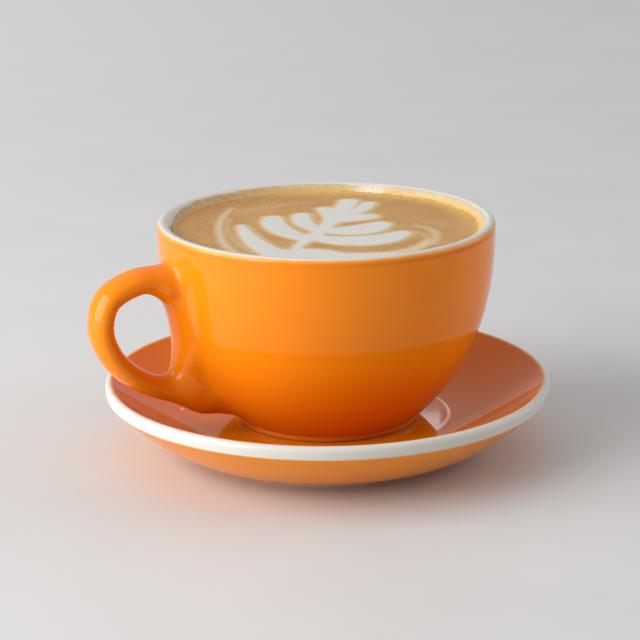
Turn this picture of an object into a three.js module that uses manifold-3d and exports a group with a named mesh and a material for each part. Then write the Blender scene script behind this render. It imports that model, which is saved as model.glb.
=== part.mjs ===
// A latte in a two-tone glazed cup on its saucer, in millimetres, with +Z up.
// The origin is on the table, in the middle of the box round the whole. The handle points to -X.
import * as THREE from 'three';
import { mergeVertices } from 'three/addons/utils/BufferGeometryUtils.js';
import Module from 'manifold-3d';

const wasm = await Module();
wasm.setup();

// Driving sizes: the saucer, measured up from the table.
const SAUCER_RADIUS = 72.9;
const SAUCER_RIM_HEIGHT = 23.9;
const SAUCER_RIM_THICKNESS = 3.4;
const SAUCER_WELL_RADIUS = 33.5;
const SAUCER_WELL_HEIGHT = 10.3;
const SAUCER_WELL_STEP = 0.7;
const SAUCER_WELL_STEP_WIDTH = 3.4;
const SAUCER_FLAT_RADIUS = 44;
const SAUCER_TOP_POWER = 1.7;
const SAUCER_FOOT_RADIUS = 41.5;
const SAUCER_FOOT_WIDTH = 3.6;
const SAUCER_FOOT_INNER_SLOPE = 2.4;
const SAUCER_FOOT_BEVEL = [0.9, 1.2];
const SAUCER_UNDERSIDE_RADIUS = 45;
const SAUCER_UNDERSIDE_HEIGHT = 2.4;
const SAUCER_UNDERSIDE_POWER = 1.6;
const SAUCER_RECESS_HEIGHT = 4.6;
// The rim's round runs between these two angles, in radians, from the outer edge over to the inside.
const SAUCER_RIM_ARC = [-0.2, 2.5];
const SAUCER_OUTER_EDGE = [0.15, 2.2];

// Driving sizes: the cup, measured up from its own foot.
const CUP_HEIGHT = 66.2;
const CUP_RIM_RADIUS = 54.5;
const CUP_FOOT_RADIUS = 30.2;
const CUP_FOOT_HEIGHT = 1.8;
const CUP_FOOT_WIDTH = 4.2;
const CUP_FOOT_BEVEL = 0.5;
const CUP_RECESS_HEIGHT = 1.6;
const CUP_RECESS_SLOPE = 1;
const CUP_FLANK_POWER = 2.5;
const CUP_FLANK_ROUNDING = 0.9;
const CUP_WALL = 5;
const CUP_FLOOR_HEIGHT = 5.4;
const CUP_FLOOR_FLAT_RADIUS = 19;
const CUP_FLOOR_KNEE = [2 / 3, 0.45];
const LIP_OUTER_ROUNDING = 1.6;
const LIP_TOP_RADIUS = 52.8;
const LIP_INNER_DROP = 4.2;

// Driving sizes: the handle, by distance from the cup's axis and height over the cup's foot.
const HANDLE_PATH = [
	[46, 51.8], [56, 52.6], [66, 52.4], [75.1, 47.8], [77.7, 39.5],
	[75.2, 30.6], [69, 23], [60, 17.6], [50, 14], [37.5, 10.4],
];
const HANDLE_THICKNESS = [8.4, 6.6];
const HANDLE_WIDTH = 13;
const RIB_PATH = [[55.5, 50.5], [52.6, 45], [51.1, 40], [50.2, 34], [50.2, 29], [51.2, 24], [50, 17]];
const RIB_THICKNESS = [7.6, 7.6];
const RIB_WIDTH = 13.6;
const HANDLE_FILLET = 4.5;

// Driving sizes: the drink, with its level measured down from the top of the lip.
const LEVEL_BELOW_LIP = 2.7;
const MENISCUS_WIDTH = 1.6;
const MENISCUS_RISE = 0.45;
const GAP = 0.3;

// The leaf pattern of milk foam lies in the drink's surface, with its own thickness.
const FOAM_THICKNESS = 1.2;
const FOAM_FROM_EDGE = 1.4;
const FOAM_RISE = 0.1;
// Each stroke of the pour: the points that its middle line bends over, and its half width at the root,
// the middle and the round end, in mm from the cup's axis. The stem leads from the body to the tip leaf.
const STEM = { line: [[-22, -26], [-1, -1.5], [21.5, 27.5]], half: [4, 2.3, 3.4] };
const BODY = { line: [[-27.5, -13], [-27, -33], [-6, -41]], half: [4.4, 7.2, 3.6] };
const BODY_END = { line: [[-14, -38.5], [2, -43], [17, -38.5]], half: [4.6, 3.4, 2] };
const LEFT_LEAVES = [
	{ line: [[-26, -22], [-30.5, -6], [-24.3, 10.5]], half: [5.4, 3.6, 2.3] },
	{ line: [[-12.6, -14], [-16.2, 2], [-11, 17.5]], half: [3.8, 4.6, 3.5] },
	{ line: [[-5.2, -6.5], [-5, 6], [-1, 16.5]], half: [2.2, 3.5, 3.1] },
	{ line: [[1.2, 1.2], [6, 9], [9.4, 20.6]], half: [1.8, 2.8, 3.3] },
];
const RIGHT_LEAVES = [
	{ line: [[-11.5, -14.5], [1, -24.6], [19.4, -20]], half: [3, 6.4, 2.8] },
	{ line: [[-3.6, -6.2], [5.5, -12], [18.2, -6.4]], half: [2, 4.4, 3.6] },
	{ line: [[4.4, 3.6], [11, 6.8], [18.6, 5.9]], half: [1.7, 3.4, 3.5] },
	{ line: [[10.6, 9.6], [19, 13.4], [26.6, 22]], half: [1.7, 2.5, 2.3] },
];

const ROUND_SEGMENTS = 64;

const CUP_Z = SAUCER_WELL_HEIGHT + GAP;
const LEVEL = CUP_HEIGHT - LEVEL_BELOW_LIP;

function finish(name, color, roughness) {
	return new THREE.MeshStandardMaterial({ name, color, roughness, metalness: 0 });
}

const glazeOrange = finish('orange_glaze', 0xe8801e, 0.12);
const saucerOrange = finish('saucer_glaze', 0xe07a1c, 0.12);
const crema = finish('crema', 0xb98d5c, 0.45);
const milkFoam = finish('milk_foam', 0xe9e0d2, 0.5);

// Turns a three.js geometry into a closed solid, with shared corners merged and faces pointing out.
function solidOf(geometry) {
	const bare = geometry.index ? geometry.clone() : geometry;
	bare.deleteAttribute('normal');
	bare.deleteAttribute('uv');
	const merged = mergeVertices(bare, 1e-4);
	const position = merged.attributes.position;
	const kept = [];
	let volume = 0;
	const corner = [new THREE.Vector3(), new THREE.Vector3(), new THREE.Vector3()];
	for (let i = 0; i < merged.index.count; i += 3) {
		const triangle = [0, 1, 2].map((k) => merged.index.getX(i + k));
		if (new Set(triangle).size < 3) continue;
		kept.push(...triangle);
		triangle.forEach((vertex, k) => corner[k].fromBufferAttribute(position, vertex));
		volume += corner[0].dot(corner[1].clone().cross(corner[2]));
	}
	if (volume < 0) kept.reverse();
	return new wasm.Manifold(new wasm.Mesh({
		numProp: 3,
		vertProperties: new Float32Array(position.array),
		triVerts: new Uint32Array(kept),
	}));
}

function geometryOf(solid) {
	const mesh = solid.getMesh();
	const geometry = new THREE.BufferGeometry();
	geometry.setAttribute('position', new THREE.BufferAttribute(mesh.vertProperties, 3));
	geometry.setIndex(new THREE.BufferAttribute(mesh.triVerts, 1));
	return geometry;
}

// A profile of [radius, height] pairs turned about the upright axis.
function turned(profile) {
	const points = profile.map(([radius, height]) => new THREE.Vector2(radius, height));
	return solidOf(new THREE.LatheGeometry(points, ROUND_SEGMENTS).rotateX(Math.PI / 2));
}

// Points of a quarter-like arc from the angle start to the angle end, in radians, about a centre.
function arc(centreRadius, centreHeight, radiusAcross, radiusUp, start, end, steps) {
	return Array.from({ length: steps + 1 }, (_, i) => {
		const angle = start + (end - start) * i / steps;
		return [centreRadius + radiusAcross * Math.cos(angle), centreHeight + radiusUp * Math.sin(angle)];
	});
}

// The bowl's flank: it leaves the foot steeply outwards and turns upright towards the rim.
function flankRadius(height) {
	const flankHeight = CUP_HEIGHT - LIP_OUTER_ROUNDING - CUP_FOOT_HEIGHT;
	const t = THREE.MathUtils.clamp((height - CUP_FOOT_HEIGHT) / flankHeight, 0, 1);
	const swell = (1 - (1 - t) ** CUP_FLANK_POWER) ** CUP_FLANK_ROUNDING;
	return CUP_FOOT_RADIUS + (CUP_RIM_RADIUS - CUP_FOOT_RADIUS) * swell;
}

function flankSlope(height) {
	const step = 0.2;
	const low = Math.max(height - step, CUP_FOOT_HEIGHT);
	return (flankRadius(height + step) - flankRadius(low)) / (height + step - low);
}

// A point as far inside the flank as the wall is thick, square to the flank.
function innerPoint(height, wall = CUP_WALL) {
	const slope = flankSlope(height);
	const length = Math.hypot(1, slope);
	return [flankRadius(height) - wall / length, height + wall * slope / length];
}

// Heights along the flank, closer together near the foot, where it curves most.
function flankHeights(top, steps) {
	const rise = top - CUP_FOOT_HEIGHT;
	return Array.from({ length: steps + 1 }, (_, i) => CUP_FOOT_HEIGHT + rise * (i / steps) ** 1.5);
}

// The bowl's inside from the floor's middle up to a height, set in from the wall by a clearance.
function insideProfile(top, clearance = 0) {
	const wallPoints = flankHeights(top - 1.5, 9).slice(1)
		.map((height) => innerPoint(height, CUP_WALL + clearance))
		.filter(([, height]) => height < top - 0.6);
	const floor = [[0, CUP_FLOOR_HEIGHT + clearance], [CUP_FLOOR_FLAT_RADIUS, CUP_FLOOR_HEIGHT + clearance]];
	const [firstRadius, firstHeight] = wallPoints[0];
	const knee = [CUP_FLOOR_FLAT_RADIUS + (firstRadius - CUP_FLOOR_FLAT_RADIUS) * CUP_FLOOR_KNEE[0],
		CUP_FLOOR_HEIGHT + clearance + (firstHeight - CUP_FLOOR_HEIGHT - clearance) * CUP_FLOOR_KNEE[1]];
	return [...floor, knee, ...wallPoints];
}

function cupProfile() {
	const footInner = CUP_FOOT_RADIUS - CUP_FOOT_WIDTH;
	const flankTop = CUP_HEIGHT - LIP_OUTER_ROUNDING;
	const foot = [[0, CUP_RECESS_HEIGHT], [footInner - CUP_RECESS_SLOPE, CUP_RECESS_HEIGHT], [footInner, 0],
		[CUP_FOOT_RADIUS - CUP_FOOT_BEVEL, 0], [CUP_FOOT_RADIUS, CUP_FOOT_BEVEL]];
	const flank = flankHeights(flankTop, 12).map((height) => [flankRadius(height), height]);
	const lipOut = arc(
		LIP_TOP_RADIUS, flankTop, CUP_RIM_RADIUS - LIP_TOP_RADIUS, LIP_OUTER_ROUNDING, 0, Math.PI / 2, 3,
	).slice(1);
	const inside = insideProfile(CUP_HEIGHT - LIP_INNER_DROP).reverse();
	const [wallTopRadius] = inside[0];
	const lipIn = arc(
		LIP_TOP_RADIUS, CUP_HEIGHT - LIP_INNER_DROP, LIP_TOP_RADIUS - wallTopRadius, LIP_INNER_DROP,
		Math.PI / 2, Math.PI, 4,
	).slice(1);
	return [...foot, ...flank, ...lipOut, ...lipIn, ...inside];
}

function insideSolid() {
	const profile = insideProfile(CUP_HEIGHT - LIP_INNER_DROP);
	const [topRadius] = profile[profile.length - 1];
	return turned([...profile, [topRadius, CUP_HEIGHT], [0, CUP_HEIGHT]]);
}

function curveOf(path) {
	const points = path.map(([reach, height]) => new THREE.Vector3(-reach, 0, height));
	return new THREE.CatmullRomCurve3(points, false, 'centripetal');
}

// The nearest place on a strap's middle line: its x and z, how far along it lies, and how far away it is.
function nearestOnLine(line, point) {
	let best = { away: Infinity };
	for (let i = 0; i + 1 < line.length; i += 1) {
		const [start, end] = [line[i], line[i + 1]];
		const [dx, dz] = [end.x - start.x, end.z - start.z];
		const projected = ((point.x - start.x) * dx + (point.z - start.z) * dz) / (dx * dx + dz * dz);
		const part = THREE.MathUtils.clamp(projected, 0, 1);
		const [x, z] = [start.x + part * dx, start.z + part * dz];
		const away = Math.hypot(point.x - x, point.z - z);
		if (away < best.away) best = { away, x, z, share: (i + part) / (line.length - 1) };
	}
	return best;
}

// A rounded strap along a path in the handle's upright plane, tapering from one thickness to another.
function strap({ path, line, thickness, width }, steps, sides) {
	const section = new THREE.Shape(Array.from({ length: sides }, (_, i) => {
		const angle = 2 * Math.PI * i / sides;
		return new THREE.Vector2(width / 2 * Math.cos(angle), thickness[0] / 2 * Math.sin(angle));
	}));
	const settings = { extrudePath: curveOf(path), steps, bevelEnabled: false };
	const geometry = new THREE.ExtrudeGeometry(section, settings);
	const position = geometry.attributes.position;
	const corner = new THREE.Vector3();
	for (let i = 0; i < position.count; i += 1) {
		corner.fromBufferAttribute(position, i);
		const { x, z, share } = nearestOnLine(line, corner);
		const taper = THREE.MathUtils.lerp(1, thickness[1] / thickness[0], share);
		position.setXYZ(i, x + (corner.x - x) * taper, corner.y, z + (corner.z - z) * taper);
	}
	return solidOf(geometry);
}

// Distance from a point to a strap's surface, negative inside, from its middle line and oval section.
function strapDistance(point, { line, thickness, width }) {
	const { away, share } = nearestOnLine(line, point);
	const halves = [THREE.MathUtils.lerp(thickness[0], thickness[1], share) / 2, width / 2];
	const scaled = Math.hypot(away / halves[0], point.y / halves[1]);
	const steepness = Math.hypot(away / halves[0] ** 2, point.y / halves[1] ** 2);
	return steepness < 1e-9 ? -halves[0] : scaled * (scaled - 1) / steepness;
}

const loop = {
	path: HANDLE_PATH, line: curveOf(HANDLE_PATH).getPoints(60), thickness: HANDLE_THICKNESS, width: HANDLE_WIDTH,
};
const rib = {
	path: RIB_PATH, line: curveOf(RIB_PATH).getPoints(24), thickness: RIB_THICKNESS, width: RIB_WIDTH,
};

function bowlDistance(point) {
	const slope = flankSlope(Math.max(point.z, CUP_FOOT_HEIGHT + 0.2));
	return (Math.hypot(point.x, point.y) - flankRadius(point.z)) / Math.hypot(1, slope);
}

// The lower of two distances, rounded off where they are nearly alike, as clay is smoothed into a corner.
function softLower(first, second, size) {
	const overlap = Math.max(size - Math.abs(first - second), 0) / size;
	return Math.min(first, second) - overlap * overlap * size / 4;
}

function cupDistance(point) {
	const straps = softLower(strapDistance(point, loop), strapDistance(point, rib), HANDLE_FILLET);
	return softLower(bowlDistance(point), straps, HANDLE_FILLET);
}

// Moves the corners near the handle's joints out to the rounded surface.
function smoothJoints(geometry) {
	const position = geometry.attributes.position;
	const point = new THREE.Vector3();
	const probe = new THREE.Vector3();
	const gradient = new THREE.Vector3();
	const step = 0.05;
	const highest = CUP_HEIGHT - 4;
	const lowest = CUP_FOOT_HEIGHT + 2;
	for (let i = 0; i < position.count; i += 1) {
		point.fromBufferAttribute(position, i);
		if (point.x > 0 || point.z > highest || point.z < lowest || bowlDistance(point) < -0.6) continue;
		for (let turn = 0; turn < 4; turn += 1) {
			const distance = cupDistance(point);
			if (distance > -1e-3) break;
			gradient.set(
				cupDistance(probe.copy(point).setX(point.x + step)) - cupDistance(probe.copy(point).setX(point.x - step)),
				cupDistance(probe.copy(point).setY(point.y + step)) - cupDistance(probe.copy(point).setY(point.y - step)),
				cupDistance(probe.copy(point).setZ(point.z + step)) - cupDistance(probe.copy(point).setZ(point.z - step)),
			).divideScalar(2 * step);
			point.addScaledVector(gradient, -distance / gradient.lengthSq());
		}
		position.setXYZ(i, point.x, point.y, point.z);
	}
	return geometry;
}

function cupGeometry() {
	const straps = strap(loop, 44, 16).add(strap(rib, 14, 16));
	const cup = turned(cupProfile()).add(straps.subtract(insideSolid()));
	return smoothJoints(geometryOf(cup));
}

function saucerProfile() {
	const footInner = SAUCER_FOOT_RADIUS - SAUCER_FOOT_WIDTH;
	const rimMiddle = SAUCER_RADIUS - SAUCER_RIM_THICKNESS / 2;
	const rimLow = SAUCER_RIM_HEIGHT - SAUCER_RIM_THICKNESS / 2;
	const foot = [[0, SAUCER_RECESS_HEIGHT], [footInner - SAUCER_FOOT_INNER_SLOPE, SAUCER_RECESS_HEIGHT],
		[footInner, 0], [SAUCER_FOOT_RADIUS, 0],
		[SAUCER_FOOT_RADIUS + SAUCER_FOOT_BEVEL[0], SAUCER_FOOT_BEVEL[1]]];
	const underSteps = 6;
	const outEdge = [SAUCER_RADIUS - SAUCER_OUTER_EDGE[0], rimLow - SAUCER_OUTER_EDGE[1]];
	const underside = Array.from({ length: underSteps + 1 }, (_, i) => {
		const t = i / underSteps;
		return [SAUCER_UNDERSIDE_RADIUS + (outEdge[0] - SAUCER_UNDERSIDE_RADIUS) * t,
			SAUCER_UNDERSIDE_HEIGHT + (outEdge[1] - SAUCER_UNDERSIDE_HEIGHT) * t ** SAUCER_UNDERSIDE_POWER];
	});
	const rim = arc(rimMiddle, rimLow, SAUCER_RIM_THICKNESS / 2, SAUCER_RIM_THICKNESS / 2, ...SAUCER_RIM_ARC, 5);
	const [rimInnerRadius, rimInnerHeight] = rim[rim.length - 1];
	const flatHeight = SAUCER_WELL_HEIGHT + SAUCER_WELL_STEP;
	const topSteps = 6;
	const top = Array.from({ length: topSteps }, (_, i) => {
		const t = 1 - (i + 1) / topSteps;
		return [SAUCER_FLAT_RADIUS + (rimInnerRadius - SAUCER_FLAT_RADIUS) * t,
			flatHeight + (rimInnerHeight - flatHeight) * t ** SAUCER_TOP_POWER];
	});
	const well = [[SAUCER_WELL_RADIUS + SAUCER_WELL_STEP_WIDTH, flatHeight],
		[SAUCER_WELL_RADIUS + SAUCER_WELL_STEP_WIDTH / 2, SAUCER_WELL_HEIGHT + SAUCER_WELL_STEP / 2],
		[SAUCER_WELL_RADIUS, SAUCER_WELL_HEIGHT], [0, SAUCER_WELL_HEIGHT]];
	return [...foot, ...underside, ...rim, ...top, ...well];
}

// One stroke of the pour seen from above: a bent line with a round end, widened by a margin.
function strokeShape({ line, half }, margin) {
	const controls = bezierThrough(line).map(([x, y]) => new THREE.Vector2(x, y));
	const curve = new THREE.QuadraticBezierCurve(...controls);
	const shares = (t) => [(1 - t) * (1 - 2 * t), 4 * t * (1 - t), t * (2 * t - 1)];
	const width = (t) => shares(t).reduce((sum, share, k) => sum + share * half[k], margin);
	const steps = 5;
	const capSteps = 4;
	const left = [];
	const right = [];
	for (let i = 0; i <= steps; i += 1) {
		const middle = curve.getPoint(i / steps);
		const tangent = curve.getTangent(i / steps);
		const side = new THREE.Vector2(-tangent.y, tangent.x).multiplyScalar(width(i / steps));
		left.push(middle.clone().add(side));
		right.push(middle.clone().sub(side));
	}
	const cap = (t, turn) => Array.from({ length: capSteps - 1 }, (_, i) => {
		const forward = curve.getTangent(t);
		const angle = Math.atan2(forward.y, forward.x) + turn + Math.PI * (i + 1) / capSteps;
		return curve.getPoint(t).add(new THREE.Vector2(Math.cos(angle), Math.sin(angle)).multiplyScalar(width(t)));
	});
	return new THREE.Shape([...right, ...cap(1, -Math.PI / 2), ...left.reverse(), ...cap(0, Math.PI / 2)]);
}

// The middle control point that makes a bent line pass through its second point half way.
function bezierThrough([start, middle, end]) {
	return [start, [0, 1].map((k) => 2 * middle[k] - (start[k] + end[k]) / 2), end];
}

function foamSolid(margin, bottom, top) {
	const strokes = [STEM, BODY, BODY_END, ...LEFT_LEAVES, ...RIGHT_LEAVES];
	const plates = strokes.map((stroke) => {
		const settings = { depth: top - bottom, bevelEnabled: false };
		const plate = new THREE.ExtrudeGeometry(strokeShape(stroke, margin), settings);
		return solidOf(plate.translate(0, 0, bottom));
	});
	const [edgeRadius] = innerPoint(LEVEL, CUP_WALL + GAP);
	const reach = edgeRadius - FOAM_FROM_EDGE + margin;
	const disc = turned([[0, bottom], [reach, bottom], [reach, top], [0, top]]);
	return plates.reduce((whole, plate) => whole.add(plate)).intersect(disc);
}

function latteProfile() {
	const inside = insideProfile(LEVEL, GAP).filter(([, height]) => height < LEVEL - 1);
	const [edgeRadius] = innerPoint(LEVEL - 0.3, CUP_WALL + GAP);
	return [...inside, [edgeRadius, LEVEL + MENISCUS_RISE],
		[edgeRadius - MENISCUS_WIDTH * 0.4, LEVEL + MENISCUS_RISE * 0.4],
		[edgeRadius - MENISCUS_WIDTH, LEVEL], [0, LEVEL]];
}

function latteGeometry() {
	const hollow = foamSolid(GAP, LEVEL - FOAM_THICKNESS - GAP, LEVEL + 2);
	return geometryOf(turned(latteProfile()).subtract(hollow));
}

function foamGeometry() {
	return geometryOf(foamSolid(0, LEVEL - FOAM_THICKNESS, LEVEL + FOAM_RISE));
}

const cup = cupGeometry();
cup.computeBoundingBox();
const handleReach = -cup.boundingBox.min.x;
const axisX = (handleReach - SAUCER_RADIUS) / 2;

function piece(name, geometry, material, height) {
	const mesh = new THREE.Mesh(geometry, material);
	mesh.name = name;
	mesh.position.set(axisX, 0, height);
	return mesh;
}

const latte = new THREE.Group();
latte.add(
	piece('saucer', geometryOf(turned(saucerProfile())), saucerOrange, 0),
	piece('cup', cup, glazeOrange, CUP_Z),
	piece('latte', latteGeometry(), crema, CUP_Z),
	piece('foam_leaf', foamGeometry(), milkFoam, CUP_Z),
);

export default latte;
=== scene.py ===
import math
import bpy
import numpy as np
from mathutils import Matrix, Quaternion, Vector


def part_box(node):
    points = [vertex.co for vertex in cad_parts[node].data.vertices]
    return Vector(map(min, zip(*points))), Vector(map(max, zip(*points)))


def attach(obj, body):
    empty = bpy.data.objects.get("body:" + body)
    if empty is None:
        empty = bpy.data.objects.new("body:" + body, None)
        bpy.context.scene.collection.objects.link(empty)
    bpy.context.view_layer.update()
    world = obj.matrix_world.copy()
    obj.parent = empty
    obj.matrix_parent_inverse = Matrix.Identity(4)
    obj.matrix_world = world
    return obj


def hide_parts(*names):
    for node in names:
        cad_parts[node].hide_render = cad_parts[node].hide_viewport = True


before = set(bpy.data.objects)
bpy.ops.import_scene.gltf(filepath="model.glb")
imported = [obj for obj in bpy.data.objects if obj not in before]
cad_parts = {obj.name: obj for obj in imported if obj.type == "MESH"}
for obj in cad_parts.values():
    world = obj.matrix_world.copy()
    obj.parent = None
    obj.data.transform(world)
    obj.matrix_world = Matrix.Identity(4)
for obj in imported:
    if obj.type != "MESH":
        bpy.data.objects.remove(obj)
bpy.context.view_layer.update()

# The view: a camera a little above the table, turned 25 degrees towards the handle's side.
# It stands 0.7 m from the cup with a long lens, so the rim shows as a narrow oval.
MM = 0.001
saucer_low, saucer_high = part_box("saucer")
AXIS_X = (saucer_low[0] + saucer_high[0]) / 2 / MM
VIEW_TURN = math.radians(25)
VIEW_FALL = math.radians(16.22)
VIEW_ROLL = math.radians(-0.45)
VIEW_REACH = 700
AIM_HEIGHT = 42.3
PICTURE_WIDTH = 640
LENS_PIXELS = 2142
AXIS_PIXELS_RIGHT = 6.94


def seen(right, away, up):
    """Turns a place in mm, given across the picture, away from the camera and up, into the model's axes: both
    flat directions are turned by the view's angle about the cup's axis."""
    across = right * math.cos(VIEW_TURN) + away * math.sin(VIEW_TURN)
    deep = away * math.cos(VIEW_TURN) - right * math.sin(VIEW_TURN)
    return Vector(((AXIS_X + across) * MM, deep * MM, up * MM))


lens = bpy.data.cameras.new("view")
lens.sensor_width = 36
lens.lens = lens.sensor_width * LENS_PIXELS / PICTURE_WIDTH
lens.shift_x = -AXIS_PIXELS_RIGHT / PICTURE_WIDTH
lens.clip_start = 0.05
lens.clip_end = 30
camera = bpy.data.objects.new("view", lens)
bpy.context.scene.collection.objects.link(camera)
aim = seen(0, 0, AIM_HEIGHT)
camera.location = seen(0, -VIEW_REACH * math.cos(VIEW_FALL), AIM_HEIGHT + VIEW_REACH * math.sin(VIEW_FALL))
level_view = (aim - camera.location).to_track_quat("-Z", "Y")
camera.rotation_euler = (level_view @ Quaternion((0, 0, 1), VIEW_ROLL)).to_euler()
bpy.context.scene.camera = camera

# The studio: a plain pale floor whose colour holds painted light, lighter far away and on the left, one large
# soft light on the left in front and a weaker one on the right a little behind. A tiny far window is mirrored
# in the saucer, and the air is grey from all round, brighter at the back and above.
FLOOR_REACH = 4.0
FLOOR_LIGHTENS_FROM = 0.3
FLOOR_LIGHTENS_TO = 1.45
RIGHTWARD = (math.cos(VIEW_TURN), -math.sin(VIEW_TURN), 0)
BACKWARD = (math.sin(VIEW_TURN), math.cos(VIEW_TURN), 0)
AIR_FRONT = 0.25
AIR_BACK = 0.5
AIR_ABOVE = 0.14


def srgb(red, green, blue):
    """A colour given as 0 to 255 on a screen, as the linear light that shaders use: by a straight line in the
    deepest shades and by a power of 2.4 above them."""
    shares = np.array([red, green, blue]) / 255
    linear = np.where(shares <= 0.04045, shares / 12.92, ((shares + 0.055) / 1.055) ** 2.4)
    return (*linear.tolist(), 1.0)


def add(tree, kind, settings=(), inputs=()):
    """Adds a shader node with its settings; an input is a value, or another node's output to link."""
    node = tree.nodes.new("ShaderNode" + kind)
    for name, value in dict(settings).items():
        setattr(node, name, value)
    for name, value in dict(inputs).items():
        if isinstance(value, bpy.types.NodeSocket):
            tree.links.new(value, node.inputs[name])
        else:
            node.inputs[name].default_value = value
    return node


def new_material(name):
    """An empty material; returns it, its node tree, its surface shader and the place on the object."""
    material = bpy.data.materials.new(name)
    material.use_nodes = True
    tree = material.node_tree
    place = add(tree, "TexCoord").outputs["Object"]
    return material, tree, tree.nodes["Principled BSDF"], place


def blend(tree, share, first, second):
    """Mixes two colours by a share from 0, the first, to 1, the second."""
    return add(tree, "Mix", {"data_type": "RGBA"}, {0: share, 6: first, 7: second}).outputs[2]


def ramp(tree, value, low, high, at_low=0.0, at_high=1.0):
    """Carries a value from one level at the low mark to another at the high mark, with soft ends."""
    inputs = {"Value": value, "From Min": low, "From Max": high, "To Min": at_low, "To Max": at_high}
    return add(tree, "MapRange", {"interpolation_type": "SMOOTHSTEP"}, inputs).outputs["Result"]


def noise(tree, place, size_mm, detail=3.0):
    """Cloudy noise whose lumps are about as large as the given size."""
    inputs = {"Vector": place, "Scale": 1 / (size_mm * MM), "Detail": detail}
    return add(tree, "TexNoise", inputs=inputs).outputs["Fac"]


def combine(tree, operation, first, second):
    """One number from two by a plain operation such as a sum, a product or the larger of both."""
    return add(tree, "Math", {"operation": operation}, {0: first, 1: second}).outputs[0]


def reach_along(tree, place, direction):
    """How far a place lies along a direction: the sum of the products of their coordinates."""
    return add(tree, "VectorMath", {"operation": "DOT_PRODUCT"}, {0: place, 1: direction}).outputs["Value"]


floor_mesh = bpy.data.meshes.new("floor")
corners = [(-FLOOR_REACH, -FLOOR_REACH, 0), (FLOOR_REACH, -FLOOR_REACH, 0),
           (FLOOR_REACH, FLOOR_REACH, 0), (-FLOOR_REACH, FLOOR_REACH, 0)]
floor_mesh.from_pydata(corners, [], [(0, 1, 2, 3)])
floor = bpy.data.objects.new("floor", floor_mesh)
bpy.context.scene.collection.objects.link(floor)
floor_paint, floor_tree, floor_shader, floor_place = new_material("studio_floor")
floor_cloud = noise(floor_tree, floor_place, 60)
floor_right = reach_along(floor_tree, floor_place, RIGHTWARD)
floor_away = reach_along(floor_tree, floor_place, BACKWARD)
# Painted light: the floor is painted lighter on the left and far away and darker on the right and near, as
# the light falls off across it.
near_right = ramp(floor_tree, floor_right, -0.25, 0.25)
floor_near = blend(floor_tree, near_right, srgb(213, 212, 211), srgb(202, 201, 200))
far_right = ramp(floor_tree, floor_right, -0.5, 0.5)
floor_far = blend(floor_tree, far_right, srgb(248, 247, 246), srgb(215, 214, 213))
far_share = ramp(floor_tree, floor_away, FLOOR_LIGHTENS_FROM, FLOOR_LIGHTENS_TO)
floor_painted_light = blend(floor_tree, far_share, floor_near, floor_far)
cloud_share = ramp(floor_tree, floor_cloud, 0.3, 0.7, 0.0, 0.12)
floor_colour = blend(floor_tree, cloud_share, floor_painted_light, srgb(232, 231, 231))
floor_tree.links.new(floor_colour, floor_shader.inputs["Base Color"])
floor_shader.inputs["Roughness"].default_value = 0.55
floor_mesh.materials.append(floor_paint)


def soft_light(name, place, size, watts):
    """A light panel at a place, turned towards the cup; its two sizes are in metres."""
    lamp = bpy.data.lights.new(name, "AREA")
    lamp.shape = "RECTANGLE"
    lamp.size = size[0]
    lamp.size_y = size[1]
    lamp.energy = watts
    panel = bpy.data.objects.new(name, lamp)
    panel.location = place
    panel.rotation_euler = (aim - place).to_track_quat("-Z", "Y").to_euler()
    bpy.context.scene.collection.objects.link(panel)


soft_light("window_light", seen(-1400, -600, 630), (1.7, 1.5), 48)
soft_light("far_window", seen(104, 1400, 495), (0.0222, 0.02), 0.0028)
soft_light("fill_light", seen(1500, 250, 650), (1.6, 1.2), 8)
world = bpy.data.worlds.new("studio_air")
world.use_nodes = True
air = world.node_tree
direction = add(air, "TexCoord").outputs["Generated"]
air_light = ramp(air, reach_along(air, direction, BACKWARD), -0.8, 0.5, AIR_FRONT, AIR_BACK)
to_top = add(air, "SeparateXYZ", inputs={"Vector": direction}).outputs["Z"]
above_light = ramp(air, to_top, 0.3, 1.0, 0.0, AIR_ABOVE)
air.links.new(combine(air, "ADD", air_light, above_light), air.nodes["Background"].inputs["Strength"])
air.nodes["Background"].inputs["Color"].default_value = (0.97, 0.98, 1.0, 1.0)
bpy.context.scene.world = world
bpy.context.scene.view_settings.view_transform = "Standard"

# The saucer: a deep glazed dish of pressed stoneware, orange inside and underneath, with a white band
# over its rim. It was fired on its foot ring, which is bare, and its well holds the cup's foot.
SAUCER_RADIUS = 72.9
SAUCER_RIM_HEIGHT = 23.9
SAUCER_RIM_THICKNESS = 3.4
WELL_RADIUS = 39.8
WELL_HEIGHT = 10.3
SAUCER_FOOT_RADIUS = 41.5
SAUCER_FOOT_WIDTH = 3.6
SAUCER_FOOT_SLANT = 2.4
SAUCER_FOOT_EDGE = (0.9, 1.2)
UNDERSIDE_RADIUS = 45
UNDERSIDE_HEIGHT = 2.4
UNDERSIDE_POWER = 1.6
UNDERSIDE_EDGE_INSET = 0.15
UNDERSIDE_EDGE_DROP = 2.2
INSIDE_POWER = 1.885
RIM_ARC = (-0.2, 2.5)
SAUCER_RECESS_HEIGHT = 4.6
BAND_OUTER_HEIGHT = 19.9
BAND_INNER_RADIUS = 71.1
BARE_HEIGHT = 0.55
EDGE_WAVER = 0.3
SAUCER_PAINTED_SHADE = 0.5
WELL_INTO_GLAZE = -5
WELL_INTO_WHITE = 3.0
TURNS = 240


def run_length(line):
    """The distance along a line from its start to each of its points: the sum of the steps up to there."""
    return np.concatenate([[0], np.cumsum(np.hypot(*np.diff(line, axis=0).T))])


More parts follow.
